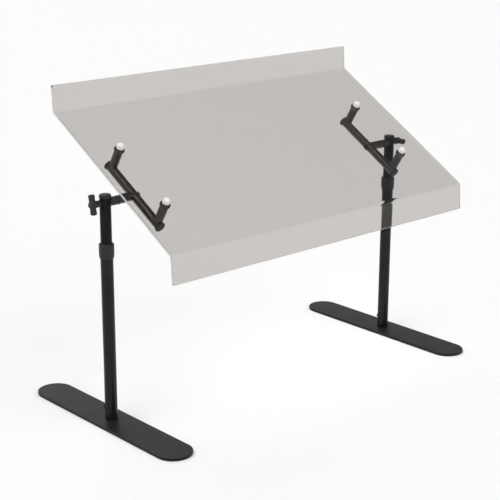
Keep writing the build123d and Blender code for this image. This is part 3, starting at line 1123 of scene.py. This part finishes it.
def makeYokeBolt(sideName):
    node = f"{sideName}_yoke_bolt"
    size = extent(node)
    inner = nodeEnd(sideName, node, "inner")
    place = inwardAt(sideName, inner + sides[sideName] * buttonHeadMake["height"], upward)
    bolt = buttonHead(size.y / 2, size.x)
    addPiece(node, bolt, "board", ["blackOxide"], [node], place)


boardWasherMake = {"radius": 8.5 * mm, "bore": 2.8 * mm, "ease": 0.5 * mm}


def makeBoardWasher(sideName, armName):
    make = boardWasherMake
    washer = hollow(make["bore"], make["radius"], 0, washerThickness, make["ease"], segments=64)
    place = yokePlace(sideName, armAlong(sideName, armName), armTop)
    addPiece(
        f"{sideName}_{armName}_board_washer", washer, "board",
        ["blackRubber"], [f"{sideName}_board_washers"], place,
    )


domeMake = {
    "radius": 6.0 * mm,
    "skirt": 3.2 * mm,
    "steps": 14,
    "rimEase": 0.3 * mm,
    "shankRadius": 2.5 * mm,
    "shankEnd": 26.0 * mm,
    "shankEase": 0.4 * mm,
}


def makeDomeScrew(sideName, armName):
    make = domeMake
    radius, skirt = make["radius"], make["skirt"]
    profile = [
        corner(0, -make["shankEnd"]),
        corner(make["shankRadius"], -make["shankEnd"], make["shankEase"]),
        corner(make["shankRadius"], 0),
        corner(radius, 0, make["rimEase"]),
    ]
    for step in range(make["steps"]):
        angle = math.pi / 2 * step / make["steps"]
        profile.append(corner(radius * math.cos(angle), skirt + radius * math.sin(angle)))
    profile.append(corner(0, skirt + radius))
    place = yokePlace(sideName, armAlong(sideName, armName), panelTop)
    addPiece(
        f"{sideName}_{armName}_board_screw", turned(profile), "board",
        ["whiteNylon"], [f"{sideName}_board_screws"], place,
    )


for sideName in sides:
    makeStub(sideName)
    makeBar(sideName)
    makeYokeBolt(sideName)
    for armName in armPlaces:
        makeArm(sideName, armName)
        makeBead(sideName, armName)
        makeBoardWasher(sideName, armName)
        makeDomeScrew(sideName, armName)
print("yokes built")


boardMake = {
    "panel": 334.0 * mm,
    "rearLip": 41.0 * mm,
    "frontLip": 45.0 * mm,
    "bend": math.radians(55.5),
    "innerRadius": 5.0 * mm,
    "bendSteps": 16,
    "cornerRadius": 3.0 * mm,
    "cornerSteps": 6,
    "edgeEase": 0.35 * mm,
    "edgeSteps": 3,
    "holeRadius": 2.8 * mm,
    "sharpAngle": 30,
}
roundBevel = {"profile": 0.5, "affect": "EDGES"}  # 0.5 makes a true arc


def along(heading):
    return Vector((math.cos(heading), math.sin(heading)))


def boardSection():
    # the upper and lower outline, front lip to rear lip, as (along the slope, above the axis)
    make = boardMake
    outerRadius = make["innerRadius"] + boardThickness
    frontCut = outerRadius * math.tan(make["bend"] / 2)
    rearCut = make["innerRadius"] * math.tan(make["bend"] / 2)
    heading = make["bend"]
    point = Vector((-make["panel"] / 2, panelTop)) - along(heading) * make["frontLip"]
    path = [(point, heading)]
    legs = [
        (make["frontLip"] - frontCut, outerRadius, -make["bend"]),
        (make["panel"] - frontCut - rearCut, make["innerRadius"], make["bend"]),
        (make["rearLip"] - rearCut, 0, 0),
    ]
    for run, radius, bend in legs:
        point = point + along(heading) * run
        path.append((point, heading))
        turn = bend / make["bendSteps"]
        chord = 2 * radius * math.sin(abs(turn) / 2)
        for step in range(make["bendSteps"] if bend else 0):
            point = point + along(heading + turn / 2) * chord
            heading += turn
            path.append((point, heading))
    upper = [at for at, _ in path]
    lower = [at + along(facing - math.pi / 2) * boardThickness for at, facing in path]
    return upper, lower


def makeBoard():
    halfWidth = extent("board").x / 2
    upper, lower = boardSection()
    bm = bmesh.new()
    ends = []
    for x in (-halfWidth, halfWidth):
        ends.append([bm.verts.new((x, p.x, p.y)) for p in upper + lower[::-1]])
    count = len(ends[0])
    for index in range(count):
        ahead = (index + 1) % count
        side = bm.faces.new((ends[0][index], ends[0][ahead], ends[1][ahead], ends[1][index]))
        side.material_index = 1 if index in (len(upper) - 1, count - 1) else 0
    for end in ends:
        bm.faces.new(end).material_index = 1
    bmesh.ops.recalc_face_normals(bm, faces=bm.faces)
    corners = [e for e in bm.edges if abs(e.calc_length() - boardThickness) < tiny
               and all(f.material_index == 1 for f in e.link_faces)]
    size, steps = boardMake["cornerRadius"], boardMake["cornerSteps"]
    bmesh.ops.bevel(bm, geom=corners, offset=size, segments=steps, **roundBevel)
    rims = [e for e in bm.edges if len(e.link_faces) == 2
            and sum(f.material_index for f in e.link_faces) == 1]
    size, steps = boardMake["edgeEase"], boardMake["edgeSteps"]
    bmesh.ops.bevel(bm, geom=rims, offset=size, segments=steps, **roundBevel)
    holeLow, holeHigh = panelTop - 2 * boardThickness, panelTop + boardThickness
    for sideName in sides:
        for armName in armPlaces:
            hole = turned([
                corner(0, holeLow),
                corner(boardMake["holeRadius"], holeLow),
                corner(boardMake["holeRadius"], holeHigh),
                corner(0, holeHigh),
            ], segments=48)
            x = middle(f"{sideName}_yoke_bar").x
            bmesh.ops.translate(hole, vec=(x, armAlong(sideName, armName), 0), verts=hole.verts)
            bm = carved(bm, hole)
    place = placeAt(Vector((0, 0, axisHeight)), panelNormal, across)
    addPiece(
        "board", bm, "board", ["clearAcrylic", "acrylicCutEdge"],
        ["board"], place, boardMake["sharpAngle"],
    )


makeBoard()
print("board built")


# inner parts keep their CAD shape and get their own finish
innerFinishes = {
    "foot_spigot": "zincSteel",
    "clutch_sleeve": "clutchPlastic",
    "tube_end_plug": "clutchPlastic",
    "clamp_screw": "zincSteel",
}
for sideName in sides:
    for part, finishName in innerFinishes.items():
        mesh = frame["nodes"][f"{sideName}_{part}"].data
        mesh.materials.clear()
        mesh.materials.append(finishes[finishName])


stageMake = {
    "floorSize": 60.0,
    "floorColor": color(0.93, 0.93, 0.925),
    "floorRoughness": 0.9,
    "floorSpecular": 0.1,
    "horizon": color(0.99, 0.99, 0.985),
    "zenith": color(0.13, 0.13, 0.135),
    "horizonHeight": 0.02,  # where the surroundings start to darken, as a share of straight up
    "zenithHeight": 0.50,
}


def makeStage():
    make = stageMake
    bm = bmesh.new()
    bmesh.ops.create_grid(bm, x_segments=8, y_segments=8, size=make["floorSize"] / 2)
    mesh = bpy.data.meshes.new("floor")
    bm.to_mesh(mesh)
    bm.free()
    floor = bpy.data.objects.new("floor", mesh)
    floor.location.z = cadLow.z
    bpy.context.scene.collection.objects.link(floor)
    finish = newFinish(
        "paleFloor", Base_Color=make["floorColor"], Roughness=make["floorRoughness"],
        Specular_IOR_Level=make["floorSpecular"],
    )[0]
    mesh.materials.append(finish)


def makeSurroundings():
    # a pale studio round the horizon under a dark ceiling
    world = bpy.data.worlds.new("studio")
    world.use_nodes = True
    tree = world.node_tree
    direction = addNode(tree, "ShaderNodeTexCoord").outputs["Generated"]
    height = addNode(tree, "ShaderNodeSeparateXYZ", {"Vector": direction}).outputs["Z"]
    darkness = spread(tree, height, stageMake["horizonHeight"], stageMake["zenithHeight"])
    tree.links.new(
        mixColor(tree, darkness, stageMake["horizon"], stageMake["zenith"]),
        tree.nodes["Background"].inputs["Color"],
    )
    bpy.context.scene.world = world


softLights = {
    "keyLight": {"from": (-0.50, 0.05, 0.86), "spread": math.radians(50), "strength": 1.6},
    "backLight": {"from": (0.10, 0.85, 0.80), "spread": math.radians(55), "strength": 0.95},
    "fillLight": {"from": (0.20, -0.90, 0.70), "spread": math.radians(60), "strength": 1.1},
}


def makeLights():
    for name, make in softLights.items():
        lamp = bpy.data.lights.new(name, "SUN")
        lamp.energy = make["strength"]
        lamp.angle = make["spread"]
        holder = bpy.data.objects.new(name, lamp)
        holder.location = make["from"]
        holder.rotation_euler = (-Vector(make["from"])).to_track_quat("-Z", "Y").to_euler()
        bpy.context.scene.collection.objects.link(holder)


cameraMake = {
    "azimuth": math.radians(42.36),  # from straight ahead, round to the left
    "elevation": math.radians(16.83),
    "roll": math.radians(0.17),
    "distance": 2.248,
    "aim": (-0.0201, 0.0027, 0.2257),
    "lens": 94.9,
    "sensor": 36.0,
    "nearest": 0.05,
    "farthest": 200.0,
}


def makeCamera():
    make = cameraMake
    azimuth, elevation = make["azimuth"], make["elevation"]
    level = Vector((math.sin(azimuth), math.cos(azimuth), 0))
    forward = level * math.cos(elevation) - upward * math.sin(elevation)
    lens = bpy.data.cameras.new("camera")
    lens.lens = make["lens"]
    lens.sensor_width = make["sensor"]
    lens.clip_start = make["nearest"]
    lens.clip_end = make["farthest"]
    camera = bpy.data.objects.new("camera", lens)
    camera.location = Vector(make["aim"]) - forward * make["distance"]
    turn = forward.to_track_quat("-Z", "Y") @ Matrix.Rotation(make["roll"], 3, "Z").to_quaternion()
    camera.rotation_euler = turn.to_euler()
    bpy.context.scene.collection.objects.link(camera)
    bpy.context.scene.camera = camera
    bpy.context.scene.view_settings.view_transform = "Standard"


makeStage()
makeSurroundings()
makeLights()
makeCamera()
print("stage ready")
